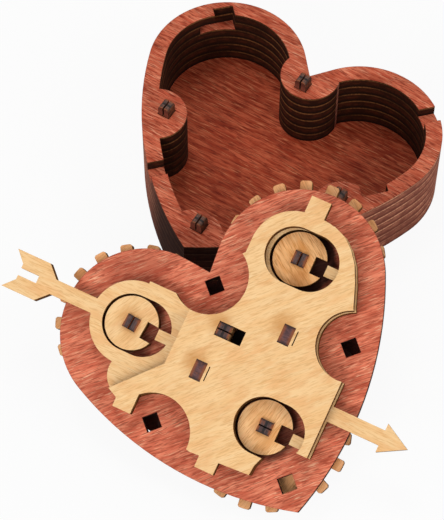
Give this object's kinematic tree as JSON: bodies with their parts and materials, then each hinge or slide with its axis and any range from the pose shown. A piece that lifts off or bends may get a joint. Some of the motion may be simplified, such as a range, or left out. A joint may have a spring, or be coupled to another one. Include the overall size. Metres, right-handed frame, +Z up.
{
  "type": "combination lock box",
  "caption": "Heart-shaped plywood box, open, with its three-dial lid and arrow-shaped sliding bolt leaning on the rim.",
  "frame": {"origin": "under the box's floor, on its middle line, halfway from the cleft corner to the tip", "axes": "+Z up, +Y from the box's tip towards its cleft, +X to the right"},
  "size_m": [0.1352, 0.1429, 0.0523],
  "materials": {
    "stained_ply": "satin",
    "stained_ply_dark": "satin",
    "birch_ply": "matte",
    "charred_ply": "matte"
  },
  "bodies": {
    "box": {"floor_plate": "stained_ply_dark", "wall_ring_1": "stained_ply", "wall_ring_2": "stained_ply", "wall_ring_3": "stained_ply", "wall_ring_4": "stained_ply", "bolt_ring": "stained_ply", "rim_ring": "stained_ply", "pin_cleft": "charred_ply", "pin_left": "charred_ply", "pin_right": "charred_ply", "pin_tip": "charred_ply"},
    "lid": {"lid_plate": "stained_ply", "guide_stub": "charred_ply", "gear_spacers": "stained_ply", "front_cover": "stained_ply", "front_face": "stained_ply_dark"},
    "bolt": {"arrow_plate": "birch_ply", "bolt_plate": "birch_ply", "key_peg_left": "charred_ply", "key_peg_right": "charred_ply"},
    "dial_left": {"thumb_wheel_left": "birch_ply", "dial_shaft_left": "charred_ply", "dial_disc_left": "birch_ply"},
    "dial_right": {"thumb_wheel_right": "birch_ply", "dial_shaft_right": "charred_ply", "dial_disc_right": "birch_ply"},
    "dial_tip": {"thumb_wheel_tip": "birch_ply", "dial_shaft_tip": "charred_ply", "dial_disc_tip": "birch_ply"}
  },
  "joints": [
    {"name": "lid_lift", "type": "slide", "parent": "box", "child": "lid", "axis": [0, 0, 1], "range_m": [0, 0.04]},
    {"name": "bolt_slide", "type": "slide", "parent": "lid", "child": "bolt", "axis": [-0.9919, -0.1044, 0.0718], "range_m": [0, 0.0038]},
    {"name": "dial_left_turn", "type": "hinge", "parent": "lid", "child": "dial_left", "pos_m": [0.00134, -0.06528, 0.02491], "axis": [0.1093, -0.4189, 0.9014], "range_deg": [-360, 360]},
    {"name": "dial_right_turn", "type": "hinge", "parent": "lid", "child": "dial_right", "pos_m": [0.03494, -0.02884, 0.03776], "axis": [0.1093, -0.4189, 0.9014], "range_deg": [-360, 360]},
    {"name": "dial_tip_turn", "type": "hinge", "parent": "lid", "child": "dial_tip", "pos_m": [0.04883, -0.07024, 0.01684], "axis": [0.1093, -0.4189, 0.9014], "range_deg": [-360, 360]}
  ]
}
